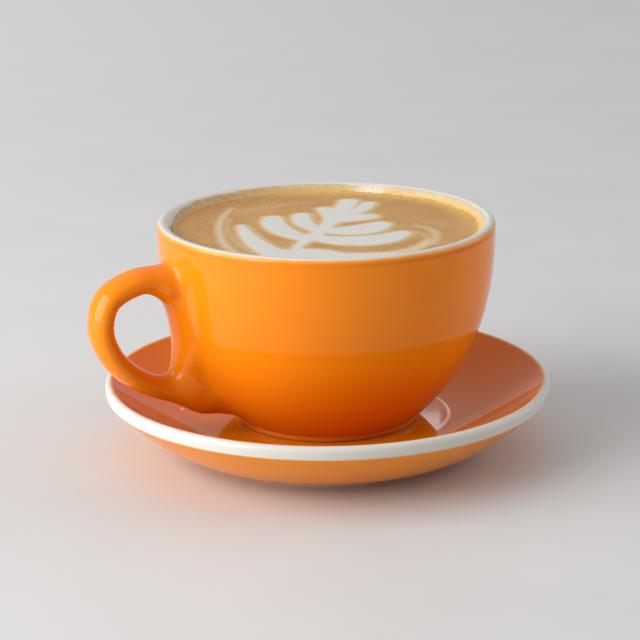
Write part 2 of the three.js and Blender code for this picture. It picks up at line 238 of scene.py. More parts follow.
def eased(points, reach=0.5, step=0.1):
    """Rounds a profile's corners: it is cut into equal short steps, and each point becomes the weighted mean
    of its neighbours within the reach; past each end the line goes on mirrored, so the ends stay put."""
    points = np.array(points, float)
    along = run_length(points)
    even = np.linspace(0, along[-1], int(along[-1] / step) + 1)
    line = np.stack([np.interp(even, along, points[:, k]) for k in (0, 1)], 1)
    half = int(round(reach / step))
    weights = np.hanning(2 * half + 3)[1:-1]
    before = 2 * line[0] - line[half:0:-1]
    after = 2 * line[-1] - line[-2:-half - 2:-1]
    padded = np.concatenate([before, line, after])
    return np.stack([np.convolve(padded[:, k], weights / weights.sum(), "valid") for k in (0, 1)], 1)


def spaced(line, longest, sharpest):
    """Keeps points of a fine line so that no step is longer than the first limit in mm nor turns more than
    the second in radians, by counting length and turning together and keeping equal shares of the count."""
    steps = np.diff(line, axis=0)
    heading = np.unwrap(np.arctan2(steps[:, 1], steps[:, 0]))
    turning = np.abs(np.diff(heading, prepend=heading[0]))
    count = np.concatenate([[0], np.cumsum(np.hypot(*steps.T) / longest + turning / sharpest)])
    marks = np.linspace(0, count[-1], int(math.ceil(count[-1])) + 1)
    return np.stack([np.interp(marks, count, line[:, k]) for k in (0, 1)], 1)


def arc(centre, radii, start, end, steps=12):
    """Points of an oval arc between two angles in radians: from its centre, each lies the first radius times
    the cosine outwards and the second times the sine upwards."""
    angle = np.linspace(start, end, steps + 1)
    return np.stack([centre[0] + radii[0] * np.cos(angle), centre[1] + radii[1] * np.sin(angle)], 1)


def risen(start, end, power, steps=40):
    """Points from one (radius, height) to another: the radius grows evenly, and the height with the share of
    the way raised to the power."""
    share = np.linspace(0, 1, steps)
    radius = start[0] + (end[0] - start[0]) * share
    return np.stack([radius, start[1] + (end[1] - start[1]) * share ** power], 1)


def put_mesh(name, points, faces):
    """Makes a smooth object in the scene from points in mm and faces of three or four corners."""
    mesh = bpy.data.meshes.new(name)
    mesh.from_pydata((np.asarray(points) * MM).tolist(), [], faces)
    mesh.polygons.foreach_set("use_smooth", np.full(len(mesh.polygons), True))
    mesh.update()
    piece = bpy.data.objects.new(name, mesh)
    bpy.context.scene.collection.objects.link(piece)
    return piece


def set_share(piece, name, values):
    """Stores one number for each point of a piece, which its material reads by name."""
    layer = piece.data.attributes.new(name, "FLOAT", "POINT")
    layer.data.foreach_set("value", np.asarray(values, np.float32))


def ring_faces(ring_count, turns):
    """Faces over rings of equally many points, with the low and the high end point after them: four-cornered
    faces from each ring to the next, and three-cornered ones from the first and last ring to their end."""
    here = np.arange(turns)
    there = (here + 1) % turns
    first = np.arange(ring_count - 1)[:, None] * turns
    quads = np.stack([first + here, first + there, first + turns + there, first + turns + here], -1)
    last = (ring_count - 1) * turns
    low_end = np.full(turns, ring_count * turns)
    bottom = np.stack([low_end, there, here], -1)
    top = np.stack([low_end + 1, last + here, last + there], -1)
    return quads.reshape(-1, 4), np.concatenate([bottom, top])


def turned(profile, turns=TURNS):
    """Carries a profile of (radius, height), which starts and ends on the axis, round it: every point goes to
    the axis plus radius times (cosine, sine), and each end closes in one point. Returns points and faces."""
    angle = np.arange(turns) * 2 * math.pi / turns
    rings = profile[1:-1]
    x = AXIS_X + rings[:, :1] * np.cos(angle)
    y = rings[:, :1] * np.sin(angle)
    z = np.repeat(rings[:, 1:], turns, axis=1)
    ends = [[AXIS_X, 0, profile[0, 1]], [AXIS_X, 0, profile[-1, 1]]]
    points = np.concatenate([np.stack([x, y, z], -1).reshape(-1, 3), ends])
    quads, caps = ring_faces(len(rings), turns)
    return points, quads.tolist() + caps.tolist()


def along_profile(profile, values):
    """Repeats a value per profile point round every ring, in the order of the turned piece's points."""
    return np.concatenate([np.repeat(values[1:-1], TURNS), [values[0], values[-1]]])


rim_middle = SAUCER_RADIUS - SAUCER_RIM_THICKNESS / 2
rim_low = SAUCER_RIM_HEIGHT - SAUCER_RIM_THICKNESS / 2
foot_inner = SAUCER_FOOT_RADIUS - SAUCER_FOOT_WIDTH
underside_end = (SAUCER_RADIUS - UNDERSIDE_EDGE_INSET, rim_low - UNDERSIDE_EDGE_DROP)
underside = risen((UNDERSIDE_RADIUS, UNDERSIDE_HEIGHT), underside_end, UNDERSIDE_POWER)
rim = arc((rim_middle, rim_low), (SAUCER_RIM_THICKNESS / 2, SAUCER_RIM_THICKNESS / 2), *RIM_ARC)
inside = risen((WELL_RADIUS, WELL_HEIGHT), rim[-1], INSIDE_POWER)[-2::-1]
saucer_line = eased([
    (0, SAUCER_RECESS_HEIGHT),
    (foot_inner - SAUCER_FOOT_SLANT, SAUCER_RECESS_HEIGHT),
    (foot_inner, 0),
    (SAUCER_FOOT_RADIUS, 0),
    (SAUCER_FOOT_RADIUS + SAUCER_FOOT_EDGE[0], SAUCER_FOOT_EDGE[1]),
    *underside, *rim, *inside, (0, WELL_HEIGHT)])
saucer_line[0, 0] = saucer_line[-1, 0] = 0
saucer_profile = spaced(saucer_line, longest=1.0, sharpest=0.1)
saucer = put_mesh("saucer_dish", *turned(saucer_profile))
along = run_length(saucer_profile)
top_step = saucer_profile[:, 1].argmax()
is_below = along < along[top_step]
is_flank = is_below & (saucer_profile[:, 0] > UNDERSIDE_RADIUS)
band_start = np.interp(BAND_OUTER_HEIGHT, saucer_profile[is_flank, 1], along[is_flank])
band_end = np.interp(-BAND_INNER_RADIUS, -saucer_profile[top_step:, 0], along[top_step:])
inside_band = np.minimum(along - band_start, band_end - along)
on_foot = np.where(is_below, BARE_HEIGHT - saucer_profile[:, 1], WELL_INTO_GLAZE)
# Painted shade: the inside of the dish is painted darker by half of the painted shade's share.
saucer_painted_shade = np.where(along > along[top_step], SAUCER_PAINTED_SHADE, 0.0)
set_share(saucer, "white_glaze", along_profile(saucer_profile, inside_band))
set_share(saucer, "bare_clay", along_profile(saucer_profile, on_foot))
set_share(saucer, "painted_shade_low", along_profile(saucer_profile, saucer_painted_shade))


def stored(tree, name):
    """The number that a piece stores for each of its points under a name."""
    return add(tree, "Attribute", {"attribute_name": name}).outputs["Fac"]


def grain(tree, shader, height, strength, depth):
    """Shades the surface as if it rose with the given height, by the strength times the depth in metres."""
    bump = add(tree, "Bump", inputs={"Height": height, "Strength": strength, "Distance": depth})
    tree.links.new(bump.outputs["Normal"], shader.inputs["Normal"])


def glazed(name, orange=(240, 133, 16), painted_shade_orange=(206, 108, 8), roughness=0.07):
    """Fired stoneware: orange or white glaze by the signed distance white_glaze, in mm from the glaze's edge,
    and bare clay by bare_clay. The orange runs thin and pale just at its edge, which is also a painted
    highlight under the lip. It is darker by a stored share of painted shade, low on the cup and inside the
    saucer, and has a darker line 1 to 2.8 mm from its edge, a painted reflection by a stored share."""
    material, tree, shader, place = new_material(name)
    edge_noise = combine(tree, "SUBTRACT", noise(tree, place, 5, 2), 0.5)
    waver = combine(tree, "MULTIPLY", edge_noise, EDGE_WAVER)
    white_side = combine(tree, "ADD", stored(tree, "white_glaze"), waver)
    bare_side = combine(tree, "ADD", stored(tree, "bare_clay"), waver)
    duller = (orange[0] - 5, orange[1] - 5, orange[2] - 2)
    cloudy = blend(tree, noise(tree, place, 14), srgb(*orange), srgb(*duller))
    # Painted reflection: a darker line 1 to 2.8 mm below the glaze's edge stands in for the dark room
    # mirrored in the lip's rounding.
    line_start = ramp(tree, white_side, -2.8, -1.8)
    line_end = ramp(tree, white_side, -1.8, -1.0, 1.0, 0.0)
    painted_lip_line = combine(tree, "MULTIPLY", line_start, line_end)
    painted_lip_share = combine(tree, "MULTIPLY", painted_lip_line, stored(tree, "painted_lip_reflection"))
    # Painted shade and painted reflection: the darker orange is mixed in by the larger of both shares.
    painted_dark_share = combine(tree, "MAXIMUM", stored(tree, "painted_shade_low"), painted_lip_share)
    deep = blend(tree, painted_dark_share, cloudy, srgb(*painted_shade_orange))
    # Partly thin glaze and partly painted highlight: the orange is paler just below its edge, where the lip's
    # rounding catches the light.
    thin = blend(tree, ramp(tree, white_side, -1.2, 0.1, 0.0, 0.8), deep, srgb(240, 172, 84))
    white = blend(tree, noise(tree, place, 9), srgb(205, 202, 193), srgb(211, 208, 200))
    glaze = blend(tree, ramp(tree, white_side, -0.25, 0.25), thin, white)
    speck = ramp(tree, noise(tree, place, 0.5, 2), 0.62, 0.7, 0.0, 0.6)
    clay = blend(tree, speck, srgb(222, 212, 196), srgb(188, 170, 146))
    is_bare = ramp(tree, bare_side, -0.1, 0.1)
    tree.links.new(blend(tree, is_bare, glaze, clay), shader.inputs["Base Color"])
    tree.links.new(ramp(tree, bare_side, -0.1, 0.1, roughness, 0.75), shader.inputs["Roughness"])
    shader.inputs["IOR"].default_value = 1.32
    grain(tree, shader, noise(tree, place, 18, 1), 0.01, 0.0004)
    return material


# The second orange is the colour of the painted shade.
saucer.data.materials.append(glazed("saucer_glaze", (240, 142, 6), (210, 112, 2), 0.045))
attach(saucer, "root")
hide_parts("saucer")

# The cup: a thick-walled bowl of the same stoneware, glazed orange outside and white inside and over the lip.
# Its handle is a rolled strap with a rib beside the bowl, luted on with slip smoothed into every corner.
CUP_Z = 10.6
CUP_HEIGHT = 66.2
RIM_RADIUS = 54.5
FOOT_RADIUS = 30.2
FOOT_HEIGHT = 1.8
FOOT_WIDTH = 4.2
RECESS_HEIGHT = 1.6
FLANK_POWER = 2.5
FLANK_ROUNDING = 0.9
FLANK_STEPS = 90
FLANK_SPACING = 1.5
WALL = 5
FLOOR_HEIGHT = 5.4
FLOOR_FLAT_RADIUS = 19
KNEE_ROOM = 8
KNEE_ACROSS = 0.6
KNEE_UP = 0.4
LIP_ROOM = 0.6
LIP_ROUNDING = 1.6
LIP_TOP_RADIUS = 52.8
LIP_INNER_DROP = 4.2
LIP_FINE_STEPS = 60
ORANGE_TOP = 65.75
CUP_BARE_HEIGHT = 0.3
PAINTED_SHADE_TOP = 30
PAINTED_SHADE_DEPTH = 26
LIP_REFLECTION_LEAST = 0.3
LOOP_PATH = [(52, 52.3), (57, 52.6), (66, 52.4), (75.1, 47.8), (77.7, 39.5),
             (75.2, 30.6), (69, 23), (60, 17.6), (50, 14), (37.5, 10.4)]
LOOP_THICKNESS = (8.4, 6.6)
LOOP_WIDTH = 13
RIB_PATH = [(54.5, 49.5), (52.5, 45), (50.5, 40), (49.1, 34),
            (48.7, 29), (49.2, 24), (47.4, 18), (43.8, 13.3)]
RIB_THICKNESS = (7.2, 11.2)
RIB_WIDTH = 13.6
STRAP_SIDES = 44
LOOP_STEPS = 150
RIB_STEPS = 48
BOWL_TURNS = 320
SLIP_HEIGHTS = (30, 48)
SLIP_SIZES = (6, 2.8)
STRAP_SLIP = 7
SLIP_REACH = 7.5
SLIP_PASSES = 12
SLIP_EASE = 0.6
SLIP_STEP = 0.6
SHADE_REACH = 9
SHADE_FADE = 1.5
HANDLE_SIDE = -20
HANDLE_ROOM = 26


def flank_radius(height):
    """The bowl's outside: the foot's radius plus the swell to the rim, times one less the share of height
    left raised to the flank's power, raised again to its rounding."""
    top = CUP_HEIGHT - LIP_ROUNDING - FOOT_HEIGHT
    left = 1 - np.clip((np.asarray(height, float) - FOOT_HEIGHT) / top, 0, 1)
    return FOOT_RADIUS + (RIM_RADIUS - FOOT_RADIUS) * (1 - left ** FLANK_POWER) ** FLANK_ROUNDING


def flank_slope(height):
    """How much the radius grows for each mm of height, from two near heights."""
    low = np.maximum(height - 0.2, FOOT_HEIGHT)
    return (flank_radius(height + 0.2) - flank_radius(low)) / (height + 0.2 - low)


def wall_inside(height, wall):
    """Points of the inner wall: from each height of the flank, the wall's thickness inwards, square to it."""
    slope = flank_slope(height)
    length = np.hypot(1, slope)
    return np.stack([flank_radius(height) - wall / length, height + wall * slope / length], 1)


def flank_heights(top):
    """Heights up the flank, closer together near the foot, where it bends most: even shares of the rise,
    raised to the spacing's power."""
    return FOOT_HEIGHT + (top - FOOT_HEIGHT) * np.linspace(0, 1, FLANK_STEPS) ** FLANK_SPACING


def inside_line(top, clearance=0.0):
    """The bowl's inside from the middle of its floor up to a height, set in from the wall by a clearance: the
    flat floor, one knee between floor and wall, and the wall as thick as everywhere."""
    wall = wall_inside(flank_heights(top - 1.5)[6:], WALL + clearance)
    wall = wall[(wall[:, 1] < top - LIP_ROOM) & (wall[:, 0] > FLOOR_FLAT_RADIUS + KNEE_ROOM)]
    floor_height = FLOOR_HEIGHT + clearance
    knee = (FLOOR_FLAT_RADIUS + (wall[0, 0] - FLOOR_FLAT_RADIUS) * KNEE_ACROSS,
            floor_height + (wall[0, 1] - floor_height) * KNEE_UP)
    return np.array([(0, floor_height), (FLOOR_FLAT_RADIUS, floor_height), knee, *wall])


flank_top = CUP_HEIGHT - LIP_ROUNDING
flank_rise = flank_heights(flank_top)
flank = np.stack([flank_radius(flank_rise), flank_rise], 1)
lip_out = arc((LIP_TOP_RADIUS, flank_top), (RIM_RADIUS - LIP_TOP_RADIUS, LIP_ROUNDING), 0, math.pi / 2)[1:]
lip_foot = CUP_HEIGHT - LIP_INNER_DROP
bowl_inside = inside_line(lip_foot)[::-1]
lip_depth = LIP_TOP_RADIUS - bowl_inside[0, 0]
lip_in = arc((LIP_TOP_RADIUS, lip_foot), (lip_depth, LIP_INNER_DROP), math.pi / 2, math.pi)[1:]
foot_in = FOOT_RADIUS - FOOT_WIDTH
bowl_line = eased([
    (0, RECESS_HEIGHT),
    (foot_in - 1, RECESS_HEIGHT),
    (foot_in, 0),
    (FOOT_RADIUS - 0.5, 0),
    (FOOT_RADIUS, 0.5),
    *flank, *lip_out, *lip_in, *bowl_inside], reach=0.4)
bowl_line[0, 0] = bowl_line[-1, 0] = 0
fine_end = bowl_line[:, 1].argmax() + LIP_FINE_STEPS
bowl_profile = np.concatenate([spaced(bowl_line[:fine_end], longest=1.0, sharpest=0.12),
                               spaced(bowl_line[fine_end - 1:], longest=3.0, sharpest=0.15)[1:]])


def smooth_path(path, steps):
    """A smooth line in the handle's plane through (distance from the axis, height) points: cubic pieces whose
    slope at each point is that of the line between its two neighbours, with knots spaced by the root of
    the distance. Returns x and z of each step."""
    corners = np.array(path, float) * (-1, 1)
    corners = np.concatenate([[2 * corners[0] - corners[1]], corners, [2 * corners[-1] - corners[-2]]])
    knots = np.concatenate([[0], np.cumsum(np.sqrt(np.hypot(*np.diff(corners, axis=0).T)))])
    time = np.linspace(knots[1], knots[-2], steps)
    piece = np.clip(np.searchsorted(knots, time, "right") - 1, 1, len(knots) - 3)
    p = [corners[piece + k] for k in (-1, 0, 1, 2)]
    t = [knots[piece + k][:, None] for k in (-1, 0, 1, 2)]
    now = time[:, None]

    def between(a, b, ta, tb):
        return ((tb - now) * a + (now - ta) * b) / (tb - ta)

    first = [between(p[k], p[k + 1], t[k], t[k + 1]) for k in range(3)]
    second = [between(first[k], first[k + 1], t[k], t[k + 2]) for k in range(2)]
    return between(second[0], second[1], t[1], t[2])


def strap(path, thickness, width, steps):
    """A rolled strap: an oval section, as wide as the strap and as thick as its taper says at each step,
    carried square to a smooth path; each end closes in one point. Returns points and faces."""
    line = smooth_path(path, steps)
    ahead = np.gradient(line, axis=0)
    ahead /= np.hypot(*ahead.T)[:, None]
    side = np.stack([-ahead[:, 1], ahead[:, 0]], 1)
    half = np.linspace(thickness[0], thickness[1], steps)[:, None] / 2
    angle = np.arange(STRAP_SIDES) * 2 * math.pi / STRAP_SIDES
    x = line[:, :1] + side[:, :1] * half * np.sin(angle)
    z = line[:, 1:] + side[:, 1:] * half * np.sin(angle)
    y = np.repeat(width / 2 * np.cos(angle)[None], steps, axis=0)
    rings = np.stack([AXIS_X + x, y, CUP_Z + z], -1).reshape(-1, 3)
    ends = [(AXIS_X + line[k, 0], 0, CUP_Z + line[k, 1]) for k in (0, -1)]
    quads, caps = ring_faces(steps, STRAP_SIDES)
    return np.concatenate([rings, ends]), quads.tolist() + caps.tolist()


bowl_points, bowl_faces = turned(bowl_profile, BOWL_TURNS)
cup = put_mesh("cup_and_handle", bowl_points + (0, 0, CUP_Z), bowl_faces)
straps = [put_mesh("loop_tool", *strap(LOOP_PATH, LOOP_THICKNESS, LOOP_WIDTH, LOOP_STEPS)),
          put_mesh("rib_tool", *strap(RIB_PATH, RIB_THICKNESS, RIB_WIDTH, RIB_STEPS))]
for tool in straps:
    joint = cup.modifiers.new("join", "BOOLEAN")
    joint.operation = "UNION"
    joint.solver = "MANIFOLD"
    joint.object = tool
joined = bpy.data.meshes.new_from_object(cup.evaluated_get(bpy.context.evaluated_depsgraph_get()))
cup.modifiers.clear()
joined.materials.clear()
if "material_index" in joined.attributes:
    joined.attributes.remove(joined.attributes["material_index"])
cup.data = joined
for tool in straps:
    bpy.data.objects.remove(tool)

LINES = {"loop": (smooth_path(LOOP_PATH, 241), LOOP_THICKNESS, LOOP_WIDTH),
         "rib": (smooth_path(RIB_PATH, 121), RIB_THICKNESS, RIB_WIDTH)}
COARSE = 8


def strap_distance(points, name):
    """Distance to a strap's surface, negative inside: from the nearest place on its middle line, found among
    every eighth corner and then among the pieces next to it, the oval's own measure k, k times (k less one)
    over the measure's steepness."""
    line, thickness, width = LINES[name]
    flat = points[:, [0, 2]]
    rough = np.hypot(*(flat[:, None] - line[::COARSE]).transpose(2, 0, 1)).argmin(1) * COARSE
    window = np.clip(rough[:, None] + np.arange(-COARSE - 1, COARSE + 1), 0, len(line) - 2)
    start = line[window]
    run = line[window + 1] - start
    offset = flat[:, None] - start
    part = np.clip((offset * run).sum(-1) / (run ** 2).sum(-1), 0, 1)
    gaps = np.hypot(*np.moveaxis(offset - part[..., None] * run, -1, 0))
    nearest = gaps.argmin(1)
    rows = np.arange(len(points))
    away = gaps[rows, nearest]
    along_strap = (window[rows, nearest] + part[rows, nearest]) / (len(line) - 1)
    half = (thickness[0] + (thickness[1] - thickness[0]) * along_strap) / 2
    measure = np.hypot(away / half, points[:, 1] / (width / 2))
    steepness = np.hypot(away / half ** 2, points[:, 1] / (width / 2) ** 2)
    return measure * (measure - 1) / np.maximum(steepness, 1e-6)


def soft_lower(first, second, size):
    """The lower of two distances, taken down further where they are nearly alike: a quarter of the slip's
    size times the square of how far they overlap within it."""
    overlap = np.maximum(size - np.abs(first - second), 0) / size
    return np.minimum(first, second) - overlap ** 2 * size / 4


def bowl_distance(points):
    """Distance out from the bowl's flank, square to it: the level distance over the length of the flank's
    step for one mm of height."""
    height = np.maximum(points[:, 2], FOOT_HEIGHT + 0.2)
    level = np.hypot(points[:, 0], points[:, 1]) - flank_radius(points[:, 2])
    return level / np.hypot(1, flank_slope(height))


def cup_distance(points):
    """Distance to the outside of bowl, loop and rib together, with slip smoothed into their corners; there is
    more of it low down, where the loop and the rib end, than at the loop's top."""
    size = np.interp(points[:, 2], SLIP_HEIGHTS, SLIP_SIZES)
    strap_part = soft_lower(strap_distance(points, "loop"), strap_distance(points, "rib"), STRAP_SLIP)
    return soft_lower(bowl_distance(points), strap_part, size)


def outward(points):
    """How fast the cup's distance grows along each axis: its change over one small step forth and back."""
    step = 0.05
    probes = [cup_distance(points + step * axis) - cup_distance(points - step * axis) for axis in np.eye(3)]
    return np.stack(probes, 1) / (2 * step)


# The slip: in the corners between bowl, loop and rib each point moves towards the mean of its neighbours and
# back to the smoothed outside, over and over, and takes its shading from the smoothed outside too.
corner_count = len(joined.vertices)
places = np.empty(corner_count * 3)
joined.vertices.foreach_get("co", places)
places = places.reshape(-1, 3) / MM - (AXIS_X, 0, CUP_Z)
beside_handle = (places[:, 0] < HANDLE_SIDE) & (np.abs(places[:, 1]) < HANDLE_ROOM)
below_lip = (places[:, 2] > FOOT_HEIGHT + 1) & (places[:, 2] < CUP_HEIGHT - 4)
near = beside_handle & below_lip & (bowl_distance(places) > -0.6)
moved = places[near]
parts = np.stack([bowl_distance(moved), strap_distance(moved, "loop"), strap_distance(moved, "rib")], 1)
parts.sort(axis=1)
part_gap = parts[:, 1] - parts[:, 0]
edges = np.empty(len(joined.edges) * 2, np.int64)
joined.edges.foreach_get("vertices", edges)
edges = edges.reshape(-1, 2)
slip_numbers = np.flatnonzero(near)[part_gap < SLIP_REACH]
is_slip = np.zeros(corner_count, bool)
is_slip[slip_numbers] = True
ends = np.concatenate([edges, edges[:, ::-1]])
ends = ends[is_slip[ends[:, 0]]]
neighbours = np.bincount(ends[:, 0], minlength=corner_count)[slip_numbers]
for slip_pass in range(SLIP_PASSES):
    sums = [np.bincount(ends[:, 0], places[ends[:, 1], k], corner_count)[slip_numbers] for k in range(3)]
    mean = np.stack(sums, 1) / neighbours[:, None]
    relaxed = places[slip_numbers] * (1 - SLIP_EASE) + mean * SLIP_EASE
    slope = outward(relaxed)
    too_far = cup_distance(relaxed) / np.maximum((slope ** 2).sum(1), 0.25)
    places[slip_numbers] = relaxed - slope * np.clip(too_far, -SLIP_STEP, SLIP_STEP)[:, None]
joined.vertices.foreach_set("co", ((places + (AXIS_X, 0, CUP_Z)) * MM).astype(np.float32).ravel())
joined.update()
normals = np.empty(corner_count * 3, np.float32)
joined.vertex_normals.foreach_get("vector", normals)
normals = normals.reshape(-1, 3)
slopes = outward(places[near])
slopes /= np.linalg.norm(slopes, axis=1)[:, None]
slope_share = np.clip((SHADE_REACH - part_gap) / SHADE_FADE, 0, 1)[:, None]
normals[near] = normals[near] * (1 - slope_share) + slopes * slope_share
normals /= np.linalg.norm(normals, axis=1)[:, None]
joined.polygons.foreach_set("use_smooth", np.full(len(joined.polygons), True))
joined.normals_split_custom_set_from_vertices(normals.tolist())

outside = (bowl_distance(places) > -WALL / 2) | (places[:, 0] < -RIM_RADIUS)
is_outer = (np.hypot(places[:, 0], places[:, 1]) > LIP_TOP_RADIUS - 0.01) | (places[:, 2] < CUP_HEIGHT - 6)
set_share(cup, "white_glaze", np.where(outside & is_outer, places[:, 2] - ORANGE_TOP, WELL_INTO_WHITE))
set_share(cup, "bare_clay", np.where(outside, CUP_BARE_HEIGHT - places[:, 2], WELL_INTO_GLAZE))
# Painted shade: the glaze is painted darker from 30 mm down to the foot, where less light reaches.
set_share(cup, "painted_shade_low", np.clip((PAINTED_SHADE_TOP - places[:, 2]) / PAINTED_SHADE_DEPTH, 0, 1))
# Painted reflection: the darker line under the lip is strongest on the side to the camera's right.
camera_right_share = np.clip(np.cos(np.arctan2(places[:, 1], places[:, 0]) + VIEW_TURN), 0, 1)
set_share(cup, "painted_lip_reflection", LIP_REFLECTION_LEAST + (1 - LIP_REFLECTION_LEAST) * camera_right_share)
cup.data.materials.append(glazed("cup_glaze"))
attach(cup, "root")
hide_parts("cup")

# The leaf: the pour's milk foam, which floats in the drink's surface as one connected pattern of strokes:
# a stem, the wide folds of the pour's body at its root, and four leaves on each side of the stem.
FILL_DROP = 2.7
DRINK_LEVEL = CUP_Z + CUP_HEIGHT - FILL_DROP
DRINK_RADIUS = 49.2
FOAM_THICKNESS = 1.2
FOAM_RISE = 0.1
FOAM_ROUNDING = 0.8
FOAM_GRID = 0.4
FOAM_SKIRT = 0.9
FOAM_SKIRT_SLOPE = 1.1
FOAM_CORNER = 0.45
FOAM_FROM_WALL = 1.4
STROKES = [
    ([(-20.5, -22.5), (-15.5, -17), (-9, -10.5)], (2.0, 2.2, 3.2)),
    ([(-12, -13.5), (1.5, 1), (21.5, 27.5)], (2.6, 3.0, 3.8)),
    ([(-31, -29), (-23.5, -31.5), (-15.5, -33.5)], (4.5, 8.4, 4.5)),
    ([(-16, -37), (-6, -40.5), (4, -42)], (5, 3.2, 1.4)),
    ([(-29.4, -24), (-29.0, -8), (-24.8, 11.4)], (4.6, 3.5, 1.8)),
    ([(-13.2, -13.5), (-15.4, 2), (-11.3, 16.8)], (3.2, 4.5, 3.6)),
    ([(-5.2, -6.5), (-5, 6), (-1, 16.5)], (2.2, 3.6, 3.2)),
    ([(1.2, 1.2), (6, 9), (9.4, 20.6)], (1.8, 2.9, 3.4)),
    ([(-10.5, -12.5), (2, -23.6), (17.2, -20.4)], (3, 6.4, 3.3)),
    ([(-3.6, -6.2), (6.2, -10.2), (16.6, -6.6)], (2, 6.2, 3.8)),
    ([(4.4, 3.6), (10.4, 4.9), (17.6, 4.8)], (1.7, 4.3, 3.9)),
    ([(10.6, 9.6), (18.4, 13.8), (26.2, 21.6)], (2.6, 3.0, 2.6)),
]


def stroke_depth(x, y, line, half):
    """How far inside one stroke each place lies, in mm: the stroke's half width less the distance to its
    middle line, at the place along it where that is most. The line is a parabola through three points, and
    the half width is a parabola through its three values."""
    t = np.linspace(0, 1, 49)[:, None]
    start, middle, end = (np.array(point, float) for point in line)
    bend = 2 * middle - (start + end) / 2
    path = start * (1 - t) ** 2 + bend * 2 * t * (1 - t) + end * t ** 2
    width = half[0] * (1 - t) * (1 - 2 * t) + half[1] * 4 * t * (1 - t) + half[2] * t * (2 * t - 1)
    depth = np.full(x.shape, -99.0)
    for (path_x, path_y), reach in zip(path, width[:, 0]):
        np.maximum(depth, reach - np.hypot(x - path_x, y - path_y), out=depth)
    return depth


def foam_depth(x, y):
    """How far inside the foam each place lies: the strokes' depths joined by a soft maximum, which fills
    their corners as foam does, and cut off near the cup's wall."""
    depths = np.stack([stroke_depth(x, y, *stroke) for stroke in STROKES])
    joined_depth = FOAM_CORNER * np.log(np.exp(depths / FOAM_CORNER).sum(0))
    return np.minimum(joined_depth, DRINK_RADIUS - FOAM_FROM_WALL - np.hypot(x, y))


grid = np.arange(-DRINK_RADIUS, DRINK_RADIUS, FOAM_GRID)
leaf_x, leaf_y = np.meshgrid(grid, grid, indexing="ij")
leaf_depth = foam_depth(leaf_x, leaf_y)
used = leaf_depth > -FOAM_SKIRT
cells = used[:-1, :-1] & used[1:, :-1] & used[:-1, 1:] & used[1:, 1:]
side_count = len(grid)
domed = FOAM_RISE * (1 - np.exp(-leaf_depth / FOAM_ROUNDING))
top_height = np.where(leaf_depth > 0, domed, leaf_depth * FOAM_SKIRT_SLOPE)
top_points = np.stack([AXIS_X + leaf_x, leaf_y, DRINK_LEVEL + top_height], -1).reshape(-1, 3)
low_points = top_points.copy()
low_points[:, 2] = DRINK_LEVEL - FOAM_THICKNESS
number = np.arange(side_count ** 2).reshape(side_count, side_count)
corner = [number[:-1, :-1], number[1:, :-1], number[1:, 1:], number[:-1, 1:]]
upper = np.stack([cell_corner[cells] for cell_corner in corner], -1)
lower = upper[:, ::-1] + side_count ** 2
padded = np.pad(cells, 1)
sides = []
for side, (step_x, step_y) in enumerate([(0, -1), (1, 0), (0, 1), (-1, 0)]):
    open_side = cells & ~padded[1 + step_x:side_count + step_x, 1 + step_y:side_count + step_y]
    first = corner[side][open_side]
    second = corner[(side + 1) % 4][open_side]
    sides.append(np.stack([first + side_count ** 2, second + side_count ** 2, second, first], -1))
leaf_faces = np.concatenate([upper, lower, *sides])
kept, renumbered = np.unique(leaf_faces, return_inverse=True)
leaf_points = np.concatenate([top_points, low_points])[kept]
leaf = put_mesh("milk_foam_leaf", leaf_points, renumbered.reshape(-1, 4).tolist())
set_share(leaf, "foam_depth", np.tile(leaf_depth.ravel(), 2)[kept])
foam_paint, foam_tree, foam_shader, foam_place = new_material("milk_foam")
foam_white = blend(foam_tree, noise(foam_tree, foam_place, 6), srgb(210, 207, 199), srgb(215, 212, 205))
foam_in = ramp(foam_tree, stored(foam_tree, "foam_depth"), -0.3, 1.5)
foam_colour = blend(foam_tree, foam_in, srgb(210, 180, 132), foam_white)
foam_tree.links.new(foam_colour, foam_shader.inputs["Base Color"])
foam_shader.inputs["Roughness"].default_value = 0.42
foam_shader.inputs["Subsurface Weight"].default_value = 0.15
foam_shader.inputs["Subsurface Radius"].default_value = (0.0012, 0.001, 0.0008)
grain(foam_tree, foam_shader, noise(foam_tree, foam_place, 0.5), 0.12, 0.0002)
leaf.data.materials.append(foam_paint)
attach(leaf, "root")
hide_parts("foam_leaf")

# The drink: coffee with crema and fine milk bubbles in its top, filled nearly to the lip.
# It meets the wall all round, climbs it a little, and the pour has left pale rings round the leaf.
WALL_REACH = 0.25
EDGE_REACH = 0.35
MENISCUS_RISE = 0.3
MENISCUS_WIDTH = 0.8
RINGS = 120
RING_TURNS = 480
BODY_TOP = CUP_HEIGHT - 4
HALO_SOFTNESS = 2.4
LEFT_BACK = (118, 38)
RIGHT_BACK = (12, 24)
DARK_FROM_RADIUS = 34
DARK_FADE = 10
GOLD_TURN = 25
GOLD_WIDTH = 5.0
HALOS = [
    ([(-17.9, 35.9), (-28.5, 20.5), (-36, 2)], (0.5, 1.0, 1.1), 0.9),
    ([(-36, 2), (-39.8, -14), (-38.5, -29)], (1.1, 1.3, 1.2), 0.9),
    ([(-24.5, 22), (-32.7, 3), (-35.6, -22)], (0.4, 0.6, 0.6), 0.5),
    ([(25, -13.6), (27, -24), (18, -37)], (0.6, 1.5, 1.4), 0.6),
    ([(2, -42), (12, -39.5), (21, -31.5)], (2.4, 2.2, 1.2), 0.85),
    ([(22.3, -20.6), (21.2, -29.4), (14, -36.6)], (0.4, 0.6, 0.7), 0.5),
    ([(-16.6, -31.5), (-6.5, -40), (8, -42)], (3.2, 3.4, 2.2), 0.7),
    ([(-20, 31), (-6, 32), (10, 31)], (0.6, 1.6, 0.8), 0.15),
]
top_edge = DRINK_RADIUS + EDGE_REACH
rings = np.linspace(0, 1, RINGS)[:, None] * top_edge
